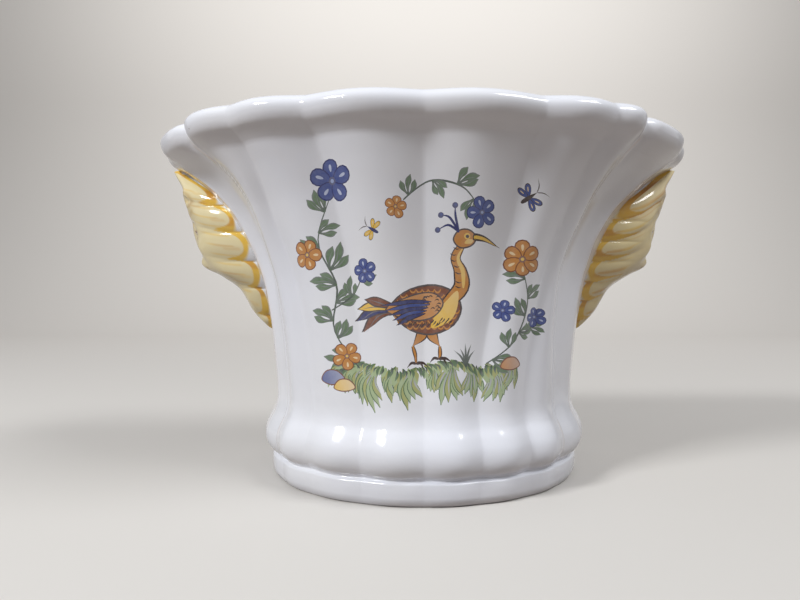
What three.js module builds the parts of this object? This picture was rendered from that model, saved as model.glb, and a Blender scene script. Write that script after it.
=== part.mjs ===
// A half-oval faience flower holder with a flat back: a fluted, flaring front wall on a moulded foot,
// a lion mask at each end, and a loose pierced cover that drops into the mouth and holds the stems.
// Millimetres, +Z up. The front faces -Y. The pieces are drawn about the widest line of the body, and
// at the end the origin goes to the table under the middle of the whole depth.
import * as THREE from "three";

// Driving dimensions
const HEIGHT = 162;
const BACK_Y = 36; // the flat back stands this far behind the widest line
const WALL = 8;
const FLOOR_Z = 12;
const FOOT_RECESS = 3;
const CORNER_RADIUS = 4;
const SEAM = 0.3; // luted joints between the slabs, and under the cover

// The flaring body, as [height, half width] at the sides and [height, depth] at the front
const SIDE_FLARE = [[38, 73.8], [58, 75.3], [75, 77.4], [98, 82.5], [123, 94.5], [138, 107.5], [151, 124]];
const FRONT_FLARE = [[38, 67.5], [58, 67.8], [75, 69], [98, 72.5], [123, 79.5], [138, 85], [151, 90.5]];
const WAIST_Z = 38;
const MOUTH_Z = 151;

// The front carries six flutes, three each side of the middle. The creases between them wander down
// the wall, as [height, angle round the oval in degrees]
const CREASES = {
  left: [[[38, 20], [114, 22.5], [151, 21]], [[38, 41], [115, 45], [141, 39.5], [151, 37]]],
  right: [[[38, 18], [114, 23.5], [151, 21]], [[38, 36], [115, 40], [151, 35.5]]],
};
const FLUTE_SHARPNESS = 1.3;
const FLUTE_SINK = 0.6; // share of a flute's rise that lies inside the plain oval
const FLUTE_RISE = { foot: 2, mouth: 3.4 };
const CREASE_FILL = { left: 0.5, right: 0.85, spread: 7 }; // the outer crease softens towards the rim

// Both edges of the hollow corners, as [height, angle round the oval in degrees], hand-worked unevenly
const PANEL_EDGE = {
  left: [[38, 59], [100, 58.5], [122, 55], [138, 53], [151, 54.5]],
  right: [[38, 53], [100, 48], [122, 49], [138, 48], [151, 47]],
};
const CORNER_EDGE = {
  left: [[38, 71], [100, 70], [125, 70], [138, 72], [151, 79]],
  right: [[38, 68], [100, 66], [112, 64.5], [125, 66], [138, 70], [151, 74]],
};
const CORNER_COVE = 3.4;
const CORNER_LOBE = { left: 0.3, right: -0.8 }; // at the rim, where the cove runs out
const RIM_NOTCH = { depth: 3.4, wallDepth: 0.6, spread: 3 }; // the spreads are in degrees
const CORNER_NOTCH = { left: 2.5, right: 3.2, spread: 5.5 };

// The pierced cover and the ledge that carries it
const LEDGE = { z: 139, width: 5, thickness: 3.5, corbel: 6 };
const COVER = { thickness: 6, bevel: 1, clearance: 1.6 };
const STEM_HOLE_RADIUS = 11;
const STEM_HOLE_ROWS = [{ y: 4, xs: [-68, -23, 23, 68] }, { y: -35, xs: [-42, 0, 42] }];

// The lion masks, in sections by height: [height, half width], and [height, stand-off at the middle]
const MASK = { y: 5, top: 147.6, bottom: 68, gap: 0.5, edge: 1.2 };
const MASK_WIDTH = [
  [68, 1], [72, 4.5], [78, 9.5], [85, 14], [92, 18.5], [100, 22.5], [108, 25.5], [116, 27],
  [126, 27], [134, 25], [141, 21], [145, 17], [148, 12.5],
];
const MASK_STAND = [
  [68, 1], [70, 4.5], [74.5, 8.5], [79, 11.4], [84, 13.2], [89.6, 15.2], [92.5, 17.4], [95, 21],
  [97.5, 25.2], [100, 26.8], [103, 27.5], [107, 27.6], [111, 27.6], [115, 27], [121, 26],
  [126, 23.6], [132, 20.2], [137, 17], [142, 13.2], [148, 9],
];
// Forms of the face: [rise, distance from the middle line, height, spread across, spread up]
const FACE_FORMS = [
  [2.8, 0, 114, 3.6, 11], // nose
  [1.6, 8.5, 128, 6, 4.5], // brow
  [-2.8, 9, 120.5, 4.4, 3.8], // eye socket
  [1.8, 9, 120, 2.2, 2], // eye
  [2.4, 14, 109, 4.5, 6], // cheek
  [2.4, 6, 103.5, 4, 3.4], // muzzle
  [-2.6, 0, 97.5, 9, 1.7], // mouth
  [1, 0, 92.5, 5, 2.6], // chin
];
// Where one curl of the mane ends and the next begins, by height on the middle line; they hang outward
const CURLS = [[70, 0], [80, 1], [98, 2], [114, 3], [129.5, 4], [142, 5], [152.5, 6], [163, 7]];
const CURL = { slant: 0.45, scallop: 1.8, rise: 1.5 };

const COLOURS = { glaze: 0xe9e9ee, mask: 0xe3d492 };

const RADIANS = Math.PI / 180;
const QUARTER = 90 * RADIANS;

const clamp01 = (t) => Math.min(1, Math.max(0, t));
const smooth = (t) => clamp01(t) ** 2 * (3 - 2 * clamp01(t));
const mix = (a, b, t) => a + (b - a) * t;

// A smooth value through a few [place, value] stations
function along(stations, place) {
  const last = stations.length - 1;
  if (place <= stations[0][0]) return stations[0][1];
  if (place >= stations[last][0]) return stations[last][1];
  const i = stations.findIndex((s) => s[0] > place) - 1;
  const [[z0, v0], [z1, v1]] = [stations[i], stations[i + 1]];
  const slope = (k) => {
    if (k === 0) return 0;
    const [before, after] = [stations[k - 1], stations[Math.min(k + 1, last)]];
    return (after[1] - before[1]) / (after[0] - before[0]);
  };
  const span = z1 - z0;
  const t = (place - z0) / span;
  const rise = v0 * (2 * t ** 3 - 3 * t ** 2 + 1) + v1 * (3 * t ** 2 - 2 * t ** 3);
  return rise + span * (slope(i) * (t ** 3 - 2 * t ** 2 + t) + slope(i + 1) * (t ** 3 - t ** 2));
}

// The plain oval at a height: its half width and its depth in front of the widest line
const oval = (z) => ({ a: along(SIDE_FLARE, z), b: along(FRONT_FLARE, z) });

const bell = (distance, spread) => Math.exp(-((distance / spread) ** 2));

// The edges of the three flutes of one hand at a height, in degrees
const fluteEdges = (hand, z) => [0, ...[...CREASES[hand], PANEL_EDGE[hand]].map((edge) => along(edge, z))];

// How far the moulded outside stands off the plain oval: flutes, hollow corners, lobes and notches
function relief(angle, hand, section) {
  const turn = angle / RADIANS;
  const edges = fluteEdges(hand, section.z);
  const [, , outer, panel] = edges;
  const corner = along(CORNER_EDGE[hand], section.z);
  const cornerNotch = (CORNER_NOTCH[hand] / RIM_NOTCH.depth) * bell(turn - corner, CORNER_NOTCH.spread);
  const notch = -section.notch * (bell(turn - panel, RIM_NOTCH.spread) + cornerNotch);
  if (turn <= panel) {
    const filled = CREASE_FILL[hand] * smooth((section.z - 90) / 60) * bell(turn - outer, CREASE_FILL.spread);
    const k = Math.min(2, edges.findLastIndex((edge) => edge <= turn));
    const across = (turn - edges[k]) / (edges[k + 1] - edges[k]);
    return section.flute * (Math.sin(Math.PI * across) ** FLUTE_SHARPNESS - FLUTE_SINK + filled) + notch;
  }
  if (turn < corner) {
    const across = (turn - panel) / (corner - panel);
    const start = -section.flute * FLUTE_SINK;
    return mix(start, 0, smooth(across)) + section.corner[hand] * Math.sin(Math.PI * across) + notch;
  }
  return notch;
}

// Half a row of points round the body, from the middle of the front to the end of one hand
function halfRow(hand, section) {
  const { z, off, endY } = section;
  const { a, b } = oval(z);
  const [front, inner, outer, panel] = fluteEdges(hand, z);
  const notch = [-5, -2.5, 0, 2.5, 5].map((turn) => panel + turn);
  const stops = [front, inner, outer, ...notch, along(CORNER_EDGE[hand], z), 90];
  const steps = [6, 6, 2, 1, 1, 1, 1, 3, 5];
  const angles = [];
  steps.forEach((count, k) => {
    for (let i = 0; i < count; i++) angles.push(mix(stops[k], stops[k + 1], i / count) * RADIANS);
  });
  angles.push(QUARTER);
  const points = angles.map((angle) => {
    const stand = off + (section.plain ? 0 : relief(angle, hand, section));
    const normal = new THREE.Vector2(b * Math.sin(angle), -a * Math.cos(angle)).normalize();
    return [a * Math.sin(angle) + normal.x * stand, -b * Math.cos(angle) + normal.y * stand];
  });
  for (const share of [0.5, 1]) points.push([a + off, endY * share]);
  return points;
}

// One row from the left end, by the middle of the front, to the right end
function row(section) {
  const left = halfRow("left", section).slice(1).reverse().map(([x, y]) => [-x, y]);
  return [...left, ...halfRow("right", section)].map(([x, y]) => [x, y, section.height ?? section.z]);
}

// A closed ring: the row, a rounded corner at each end, and a straight back
function ring(z, off) {
  const backY = BACK_Y + off;
  const endX = oval(z).a + off - CORNER_RADIUS;
  const corner = [30, 60, 90].map((turn) => [
    endX + CORNER_RADIUS * Math.cos(turn * RADIANS),
    backY - CORNER_RADIUS + CORNER_RADIUS * Math.sin(turn * RADIANS),
  ]);
  const right = [...corner, ...[0.6, 0.2].map((share) => [endX * share, backY])];
  const left = right.map(([x, y]) => [-x, y]).reverse();
  const back = [...right, ...left].map(([x, y]) => [x, y, z]);
  return [...row({ z, off, plain: true, endY: backY - CORNER_RADIUS }), ...back];
}

function geometryFrom(positions, index) {
  const geometry = new THREE.BufferGeometry();
  geometry.setAttribute("position", new THREE.Float32BufferAttribute(positions.flat(), 3));
  geometry.setIndex(index);
  geometry.computeVertexNormals();
  return geometry;
}

// Joins closed loops of equal count into a skin; wrapped, the last loop joins the first
function skin(loops, wrapped) {
  const count = loops[0].length;
  const index = [];
  const pairs = wrapped ? loops.length : loops.length - 1;
  for (let i = 0; i < pairs; i++) {
    const [p, q] = [i * count, ((i + 1) % loops.length) * count];
    for (let j = 0; j < count; j++) {
      const next = (j + 1) % count;
      index.push(p + j, p + next, q + next, p + j, q + next, q + j);
    }
  }
  return index;
}

// A solid between its first and last loop, each closed by a fan round a centre
function loft(loops, firstCentre, lastCentre) {
  const count = loops[0].length;
  const index = skin(loops, false);
  const first = loops.length * count;
  const top = first - count;
  for (let j = 0; j < count; j++) {
    const next = (j + 1) % count;
    index.push(first, next, j, top + j, top + next, first + 1);
  }
  return geometryFrom([...loops.flat(), firstCentre, lastCentre], index);
}

// The outside from the table to the waist: [height, stand-off from the waist's oval, flute rise]
const FOOT_PROFILE = [
  [0, -1, 0.3], [0.8, 0.6, 0.6], [3, 1.8, 0.9], [9.8, 2.1, 1], [11, 0.7, 1.3], [13, 2.7, 1.8],
  [16, 4.8, 2.3], [19.5, 5.7, 2.5], [23.5, 5.4, 2.5], [27.5, 3.8, 2.4], [32, 1.4, 2.2], [37, 0.2, 2],
];
const WALL_HEIGHTS = [44, 52, 60, 67, 74, 81, 88, 94, 100, 106, 112, 118, 124, 129.5, 135.5, 139, 143, 147.5];
// The rolled rim, as [height, stand-off from the oval of the mouth]
const RIM_ROLL = [
  [150.3, 1.6], [152.3, 4.3], [155, 6], [158, 6.3], [160.5, 4.4],
  [HEIGHT, 0.6], [161.2, -2.8], [158.5, -5.4], [154.5, -6.9],
];
const INSIDE_HEIGHTS = [
  MOUTH_Z, 147.5, 143, 139, 135.5, 129.5, 118, 106, 94, 81, 67, 52, 38, FLOOR_Z, FOOT_RECESS,
];

const upTheWall = (z) => clamp01((z - WAIST_Z) / (MOUTH_Z - WAIST_Z));
const fluteRise = (z) => mix(FLUTE_RISE.foot, FLUTE_RISE.mouth, upTheWall(z));

// The hollow of both corners at a height on the wall
function cornerHollow(z) {
  const cove = mix(-0.6, -CORNER_COVE, smooth((z - 60) / 55));
  const atRim = smooth((z - 142) / 9);
  return { left: mix(cove, CORNER_LOBE.left, atRim), right: mix(cove, CORNER_LOBE.right, atRim) };
}

// The press-moulded front: foot, fluted wall, corners and rolled rim in one bent sheet
function frontWall() {
  const endY = BACK_Y - WALL - SEAM;
  const rows = [];
  const smoothWall = { off: 0, flute: 0, corner: { left: 0, right: 0 }, notch: 0, endY };
  const add = (section) => rows.push(row({ ...smoothWall, ...section }));
  for (const [z, off, flute] of FOOT_PROFILE) add({ z, off, flute });
  for (const z of WALL_HEIGHTS) {
    const notch = RIM_NOTCH.wallDepth * smooth((z - 60) / 60);
    add({ z, flute: fluteRise(z), corner: cornerHollow(z), notch });
  }
  for (const [height, off] of RIM_ROLL) {
    const fade = smooth((off + 6.9) / 8); // the inside of the mouth is plain
    const corner = { left: CORNER_LOBE.left * fade, right: CORNER_LOBE.right * fade };
    add({ z: MOUTH_Z, height, off, flute: fluteRise(height) * fade, corner, notch: RIM_NOTCH.depth * fade });
  }
  for (const z of INSIDE_HEIGHTS) add({ z, off: -WALL, plain: true });
  add({ z: 0, off: 1 - WALL, plain: true });

  // The rows follow the wall's cross-section round, so the two end faces are cut from the rows' ends
  const count = rows[0].length;
  const index = [];
  rows.forEach((_, i) => {
    const [p, q] = [i * count, ((i + 1) % rows.length) * count];
    for (let j = 0; j + 1 < count; j++) index.push(p + j, p + j + 1, q + j + 1, p + j, q + j + 1, q + j);
  });
  const end = rows.map((points) => new THREE.Vector2(points[count - 1][0], points[count - 1][2]));
  for (const [i, j, k] of THREE.ShapeUtils.triangulateShape(end, [])) {
    index.push(i * count + count - 1, k * count + count - 1, j * count + count - 1);
    index.push(i * count, j * count, k * count);
  }
  return geometryFrom(rows.flat(), index);
}

// The flat back slab carries on the silhouette of the front's two ends, with its edges rounded
function backWall() {
  const silhouette = [
    ...FOOT_PROFILE.map(([z, off]) => [oval(z).a + off, z]),
    ...WALL_HEIGHTS.map((z) => [oval(z).a, z]),
    ...RIM_ROLL.filter(([, off]) => off > 0).map(([height, off]) => [oval(MOUTH_Z).a + off, height]),
  ];
  const outline = (y, side, top) => {
    const right = silhouette.map(([x, z]) => [x - side, y, Math.min(z, HEIGHT - top)]);
    const left = right.map(([x, , z]) => [-x, y, z]).reverse();
    const [x, , z] = right[right.length - 1];
    return [...right, [x / 3, y, z], [-x / 3, y, z], ...left];
  };
  const [near, far, round] = [BACK_Y - WALL, BACK_Y, CORNER_RADIUS];
  const bow = [0, 30, 60, 90].map((turn) => {
    return [round * (1 - Math.cos(turn * RADIANS)), round * Math.sin(turn * RADIANS)];
  });
  const loops = [
    ...[...bow].reverse().map(([inset, step]) => outline(near + round - step, 0, inset * 0.9)),
    ...bow.slice(1).map(([inset, step]) => outline(far - round + step, inset, inset * 0.9)),
  ];
  return loft(loops.map((loop) => loop.reverse()), [0, near, 100], [0, far, 100]);
}

function floorSlab() {
  const inset = -WALL - SEAM;
  const bottom = [[FOOT_RECESS, inset - 1], [FOOT_RECESS + 1, inset]];
  const top = [[FLOOR_Z - 1, inset], [FLOOR_Z, inset - 1]];
  const loops = [...bottom, ...top].map(([z, off]) => ring(z, off));
  return loft(loops, [0, -16, FOOT_RECESS], [0, -16, FLOOR_Z]);
}

// A corbelled strip round the inside of the mouth
function coverLedge() {
  const [outer, inner] = [-WALL - SEAM, -WALL - LEDGE.width];
  const under = LEDGE.z - LEDGE.thickness;
  const wallSide = [[under - LEDGE.corbel, outer], [under, outer], [LEDGE.z, outer]];
  const loops = [...wallSide, [LEDGE.z, inner], [under, inner]].map(([z, off]) => ring(z, off));
  return geometryFrom(loops.flat(), skin(loops, true));
}

// The plain panel at each end of the body, which the masks are luted to
function panelX(y, z) {
  const { a, b } = oval(z);
  return y < 0 ? a * Math.sqrt(1 - (y / b) ** 2) : a;
}

// A point of the mask's face: turn from 0 at its front edge to a half turn at its back edge
function facePoint(turn, z) {
  const inward = Math.max(0, Math.sin(turn));
  const curlAt = (side) => Math.abs(Math.sin(Math.PI * along(CURLS, z + CURL.slant * side)));
  const fullWidth = along(MASK_WIDTH, z);
  const width = Math.max(0.6, fullWidth + CURL.scallop * (Math.sqrt(curlAt(fullWidth)) - 1));
  const y = MASK.y - Math.sign(Math.cos(turn)) * Math.abs(Math.cos(turn)) ** 0.92 * width;
  const side = Math.abs(y - MASK.y);
  let stand = MASK.edge + (along(MASK_STAND, z) - MASK.edge) * inward ** 0.8;
  const onFace = smooth((inward - 0.25) / 0.35);
  for (const [rise, across, height, spreadAcross, spreadUp] of FACE_FORMS) {
    stand += onFace * rise * bell(side - across, spreadAcross) * bell(z - height, spreadUp);
  }
  const mane = smooth(inward / 0.3) * (1 - smooth((inward - 0.5) / 0.35));
  stand += CURL.rise * (curlAt(side) - 0.5) * mane;
  return [panelX(y, z) + MASK.gap + Math.max(0.5, stand), y, z];
}

// A mask is lofted up through its sections, each closed along the panel behind it
function lionMask(hand) {
  const [levels, faceSteps, backSteps] = [32, 26, 5];
  const loops = Array.from({ length: levels + 1 }, (_, k) => {
    const z = mix(MASK.bottom, MASK.top, k / levels);
    const face = Array.from({ length: faceSteps + 1 }, (_, i) => facePoint((Math.PI * i) / faceSteps, z));
    const [front, rear] = [face[0][1], face[faceSteps][1]];
    const back = Array.from({ length: backSteps + 1 }, (_, i) => {
      const y = mix(rear, front, i / backSteps);
      return [panelX(y, z) + MASK.gap, y, z];
    });
    const loop = [...face, ...back].map(([x, y]) => [hand * x, y, z]);
    return hand > 0 ? loop.reverse() : loop;
  });
  const centre = (z) => [hand * (panelX(MASK.y, z) + MASK.gap + along(MASK_STAND, z) / 2), MASK.y, z];
  return loft(loops.map((loop) => loop.reverse()), centre(MASK.bottom), centre(MASK.top));
}

// The cover is a flat slab cut to the mouth, pierced for the stems
function flowerCover() {
  const { a, b } = oval(LEDGE.z);
  const inset = WALL + COVER.clearance + COVER.bevel;
  const [halfWidth, depth, backY] = [a - inset, b - inset, BACK_Y - inset];
  const [cornerX, cornerY] = [halfWidth - CORNER_RADIUS, backY - CORNER_RADIUS];
  const outline = new THREE.Shape();
  outline.moveTo(halfWidth, 0);
  outline.lineTo(halfWidth, cornerY);
  outline.absarc(cornerX, cornerY, CORNER_RADIUS, 0, QUARTER, false);
  outline.lineTo(-cornerX, backY);
  outline.absarc(-cornerX, cornerY, CORNER_RADIUS, QUARTER, 2 * QUARTER, false);
  outline.lineTo(-halfWidth, 0);
  outline.absellipse(0, 0, halfWidth, depth, 2 * QUARTER, 4 * QUARTER, false);
  for (const { y, xs } of STEM_HOLE_ROWS) {
    for (const x of xs) {
      const hole = new THREE.Path();
      hole.absarc(x, y, STEM_HOLE_RADIUS + COVER.bevel, 0, 4 * QUARTER, true);
      outline.holes.push(hole);
    }
  }
  return new THREE.ExtrudeGeometry(outline, {
    depth: COVER.thickness - 2 * COVER.bevel,
    bevelEnabled: true,
    bevelThickness: COVER.bevel,
    bevelSize: COVER.bevel,
    bevelSegments: 1,
    curveSegments: 12,
  });
}

const glaze = new THREE.MeshStandardMaterial({ color: COLOURS.glaze, roughness: 0.12, metalness: 0 });
const maskGlaze = new THREE.MeshStandardMaterial({ color: COLOURS.mask, roughness: 0.15, metalness: 0 });

function named(name, geometry, material) {
  const mesh = new THREE.Mesh(geometry, material);
  mesh.name = name;
  return mesh;
}

const holder = new THREE.Group();
holder.add(named("front_wall", frontWall(), glaze));
holder.add(named("back_wall", backWall(), glaze));
holder.add(named("floor_slab", floorSlab(), glaze));
holder.add(named("cover_ledge", coverLedge(), glaze));
holder.add(named("lion_mask_right", lionMask(1), maskGlaze));
holder.add(named("lion_mask_left", lionMask(-1), maskGlaze));
const cover = named("flower_cover", flowerCover(), glaze);
cover.position.z = LEDGE.z + SEAM + COVER.bevel;
holder.add(cover);

const middle = new THREE.Box3().setFromObject(holder).getCenter(new THREE.Vector3());
for (const piece of holder.children) piece.position.y -= middle.y;

export default holder;
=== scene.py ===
"""A half-oval faience flower holder: fluted front, lion masks at the ends, flat back, pierced cover.

Lengths are in millimetres until place() puts them into the frame, with y measured from the widest
line of the body.
"""

import math
import random

import bmesh
import bpy
import numpy as np
from bpy.props import FloatProperty, FloatVectorProperty, PointerProperty
from bpy.types import Operator, Panel, PropertyGroup
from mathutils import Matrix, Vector
from mathutils.geometry import delaunay_2d_cdt


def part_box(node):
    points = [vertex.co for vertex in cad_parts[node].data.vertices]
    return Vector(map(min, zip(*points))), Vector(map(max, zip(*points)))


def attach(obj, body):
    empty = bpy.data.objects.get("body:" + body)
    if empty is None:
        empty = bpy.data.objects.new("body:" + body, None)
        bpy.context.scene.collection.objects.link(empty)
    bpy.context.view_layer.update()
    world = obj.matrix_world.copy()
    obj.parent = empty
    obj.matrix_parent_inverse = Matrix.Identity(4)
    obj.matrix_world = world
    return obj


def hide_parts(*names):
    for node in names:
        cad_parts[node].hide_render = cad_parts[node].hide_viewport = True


bl_info = {
    "name": "Faience Flower Holder",
    "version": (1, 0, 0),
    "blender": (4, 5, 0),
    "location": "View3D > Sidebar > Flower Holder",
    "description": "Dresses the packed frame of a moulded and painted flower holder",
    "category": "Add Mesh",
}

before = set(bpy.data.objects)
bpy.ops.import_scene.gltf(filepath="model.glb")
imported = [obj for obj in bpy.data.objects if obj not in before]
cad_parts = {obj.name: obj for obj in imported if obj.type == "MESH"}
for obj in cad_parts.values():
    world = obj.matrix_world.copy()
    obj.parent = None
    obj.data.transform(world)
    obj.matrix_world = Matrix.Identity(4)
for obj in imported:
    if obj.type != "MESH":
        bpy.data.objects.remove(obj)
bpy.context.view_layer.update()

# The potter's shapes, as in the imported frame
HEIGHT = 162
BACK_Y = 36
WALL = 8
FLOOR_Z = 12
FOOT_RECESS = 3
CORNER_RADIUS = 4
SIDE_FLARE = ((38, 73.8), (58, 75.3), (75, 77.4), (98, 82.5), (123, 94.5), (138, 107.5), (151, 124))
FRONT_FLARE = ((38, 67.5), (58, 67.8), (75, 69), (98, 72.5), (123, 79.5), (138, 85), (151, 90.5))
WAIST_Z = 38
MOUTH_Z = 151
CREASES = {
    -1: (((38, 20), (114, 22.5), (151, 21)), ((38, 41), (115, 45), (141, 39.5), (151, 37))),
    1: (((38, 18), (114, 23.5), (151, 21)), ((38, 36), (115, 40), (151, 35.5))),
}
FLUTE_SHARPNESS = 1.3
FLUTE_SINK = 0.6
CREASE_FILL = {-1: 0.5, 1: 0.85}
FILL_SPREAD = 7
PANEL_EDGE = {
    -1: ((38, 59), (100, 58.5), (122, 55), (138, 53), (151, 54.5)),
    1: ((38, 53), (100, 48), (122, 49), (138, 48), (151, 47)),
}
CORNER_EDGE = {
    -1: ((38, 71), (100, 70), (125, 70), (138, 72), (151, 79)),
    1: ((38, 68), (100, 66), (112, 64.5), (125, 66), (138, 70), (151, 74)),
}
CORNER_COVE = 3.4
CORNER_LOBE = {-1: 0.3, 1: -0.8}
RIM_NOTCH = 3.4
CORNER_NOTCH = {-1: 2.5, 1: 3.2}
CORNER_SPREAD = 5.5
NOTCH_SPREAD = 3
FOOT_PROFILE = (
    (0.8, 0.6, 0.6), (3, 1.8, 0.9), (9.8, 2.1, 1), (11, 0.7, 1.3), (13, 2.7, 1.8), (16, 4.8, 2.3),
    (19.5, 5.7, 2.5), (23.5, 5.4, 2.5), (27.5, 3.8, 2.4), (32, 1.4, 2.2), (37, 0.2, 2), (44, 0, 2.07),
)
FOOT_TOP = FOOT_PROFILE[-1][0]
# Heights of the wall's rows: from, to and how many
ROW_SPANS = ((0.8, 9.4, 9), (9.8, 13, 12), (13.6, 43, 34), (FOOT_TOP, 145.8, 61))
RIM_STEPS = 40
BACK_LIP = 4
RIM_ROLL = (
    (147.5, 0), (150.3, 1.6), (152.3, 4.3), (155, 6), (158, 6.3), (160.5, 4.4),
    (HEIGHT, 0.6), (161.2, -2.8), (158.5, -5.4), (154.5, -6.9), (151, -7.8), (147.5, -8),
)
LEDGE_Z = 139
LEDGE_INNER = -13
# Down the inside, from the mouth over the ledge to the floor
INSIDE = (
    (143, -8), (140, -8), (139.3, -8.2), (139, -8.8), (139, -12.2), (138.7, -12.8), (138.2, LEDGE_INNER),
    (136, LEDGE_INNER), (135.4, -12.7), (133, -10.8), (130, -8.8), (128, -8.1),
    *((height, -WALL) for height in range(124, 16, -12)),
    (18, -8), (14.5, -8.4), (13, -9.4), (12.3, -11), (12, -13.5),
)
COVER_Z = LEDGE_Z + 0.3
COVER_THICKNESS, COVER_CLEARANCE, COVER_ROUND = 6, 1.6, 1.4
STEM_HOLE_RADIUS = 11
STEM_HOLES = ((-68, 4), (-23, 4), (23, 4), (68, 4), (-42, -35), (0, -35), (42, -35))
# Lowest and highest level of a mask and how many, its columns, and how deep its back is sunk in the wall
MASK_LEVELS = (68, 151.5, 178)
MASK_TURNS = 133
MASK_SUNK = 2.5
# The masks, by height: half width along the side panel, and how far the middle stands off it
MASK_Y = 5
MASK_WIDTH = (
    (68, 1), (72, 4.5), (78, 9.5), (85, 14), (92, 18.5), (100, 22.5), (108, 25.5), (116, 27),
    (126, 27), (134, 24.5), (141, 19), (145, 14), (148, 10.5), (152, 6),
)
MASK_STAND = (
    (68, 1), (70, 4.5), (74.5, 8.5), (79, 11.4), (84, 13.2), (89.6, 15.2), (92.5, 17.4), (95, 21),
    (97.5, 25.2), (100, 26.8), (103, 27.5), (107, 27.6), (111, 27.6), (115, 27), (121, 26),
    (126, 23.6), (132, 20.2), (137, 17), (142, 13.2), (148, 9), (152, 6),
)
# Forms of the face: rise, distance from the middle line, height, spread across, spread up
FACE_FORMS = (
    (2.8, 0, 114, 5, 11), (0.9, 8.5, 128, 6, 5), (-2.1, 9, 120.5, 4.4, 4.2), (1.8, 9, 120, 2.2, 2),
    (2.4, 14, 109, 4.5, 6), (3.2, 6, 102.5, 4.2, 3.8), (-2.6, 0, 97.5, 9, 1.7), (1.0, 0, 92.5, 5, 2.6),
    (-0.5, 3.4, 104.6, 1.1, 1.0), (-0.7, 9, 123.2, 3.2, 0.8), (-0.6, 9, 117.2, 3, 0.7), (0.8, 4, 131, 2, 4),
    (3.4, 14.5, 135, 4, 4), (-3.6, 14, 134.4, 2.3, 2.3),
)
CURLS = ((70, 0), (80, 1), (98, 2), (114, 3), (129.5, 4), (142, 5), (152.5, 6), (163, 7))
CURL_SLANT = {-1: 0.5, 1: 1.1}
CURL_SCALLOP, CURL_RISE = 1.8, 2.2
MASK_BREADTH = {-1: 0.9, 1: 1}
# The brushed lines: how far they run in between two curls, how round they start and their width. Then
# how dark the crown and the hairs are, and how strong the wash over the whole mask.
CURL_HOOK = {-1: 9, 1: 14}
CURL_ROUND = {-1: 0.6, 1: 0.25}
MASK_STROKE = {-1: 1.1, 1: 1.35}
MASK_CROWN = {-1: 0.1, 1: 0.8}
MASK_HAIRS = {-1: 0.3, 1: 0.7}
MASK_WASH = {-1: 0.05, 1: 0.16}
# Columns of one half of the wall: between the stops round the front, along the side, round the back's
# edge and along the back. The underside and the floor close on the line x = 0, y = CLOSING_Y.
FRONT_STEPS = (14, 14, 7, 4, 14, 4, 8, 12, 9)
SIDE_STEPS, CORNER_STEPS, BACK_STEPS = 14, 8, 18
CLOSING_Y = -16
# Under the foot, as height and stand-off from the waist's oval
UNDERSIDE = (
    (3, -10), (3, -9), (2.7, -8.3), (2, -8), (0.8, -7.7), (0.25, -7.2), (0, -6.2), (0, -3.6), (0, -1.2),
    (0.2, -0.2),
)
# The painting covers these heights of the wall, and this many columns each side of the middle. No two of
# its points are nearer than NEAREST, and PROBE is how far from a point its slope is measured.
PAINTED = (30, 144)
PAINTED_COLUMNS = 57
NEAREST = 5e-4
TINY = 1e-9
PROBE = 0.05
# Petal, outline and light
FLOWERS = {"blue_flower": ("sky", "blue", "mist"), "ochre_flower": ("ochre", "rust", "straw")}
# The lower edge of a small feather
FEATHER = ((1.2, 0), (0.8, -0.9), (0, -1.3), (-0.8, -0.9), (-1.2, 0))
# The light that the floor throws back on the pot is kept low and warm, so that its modelling shows
FLOOR_BOUNCE = (0.2, 0.16, 0.13)
# The floor in metres: where it starts, half its run, where it bends up, the bend's radius, half its width
FLOOR_START, FLOOR_REACH, FLOOR_FLAT, FLOOR_BEND, FLOOR_HALF_WIDTH = -1.6, 2.2, 1.1, 0.8, 3.5
# Name, place, size, power, tone and target of each lamp
LAMPS = (
    ("window", (-0.8, -0.7, 0.8), (0.3, 0.22), 12.2, (0.98, 0.99, 1), (0, 0, 0.09)),
    ("fill", (0.85, -0.5, 1.2), (0.7, 0.4), 11, (0.98, 0.99, 1), (0, 0, 0.09)),
    ("backdrop", (0, 0.9, 1.5), (2.4, 0.5), 20, (1, 0.99, 0.98), (0, 1.95, 0.75)),
)
# The world's colour, and its strength as light and as a background
WORLD_COLOUR = (0.97, 0.97, 1, 1)
WORLD_STRENGTH = (0.24, 0.62)
# The camera in drawn millimetres, its lens and how far that is shifted
EYE = (0, -310.8, 84.3)
LENS, LENS_SHIFT = 27, -0.03
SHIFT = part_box("back_wall")[1].y * 1000 - BACK_Y
# Grain of the glaze's changes, in cells per metre: tone, warmth, thin edges, painted wash, matt places,
# pinholes, slow waves and orange peel
TONE, WARMTH, BREAKUP, WASH, MATT, HOLES, WAVES, PEEL = 14, 55, 160, 420, 30, 75, 38, 520
# Shifts of the tin glaze where it lies cool and warm, its pinholes, and how matt it is at least and at most
COOL, WARM = (0.955, 0.965, 1.0), (1.0, 0.965, 0.93)
PINHOLE = (0.16, 0.1, 0.07)
GLAZE_ROUGHNESS = (0.08, 0.15)
# How near two points of a seam are that get welded, in metres
WELD = 1e-6


def place(points):
    """Drawn millimetres to metres in the frame."""
    return (np.asarray(points, float) + (0, SHIFT, 0)) / 1000


def smooth(t):
    t = np.clip(t, 0, 1)
    return t * t * (3 - 2 * t)


def mix(a, b, t):
    return a + (b - a) * t


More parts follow.
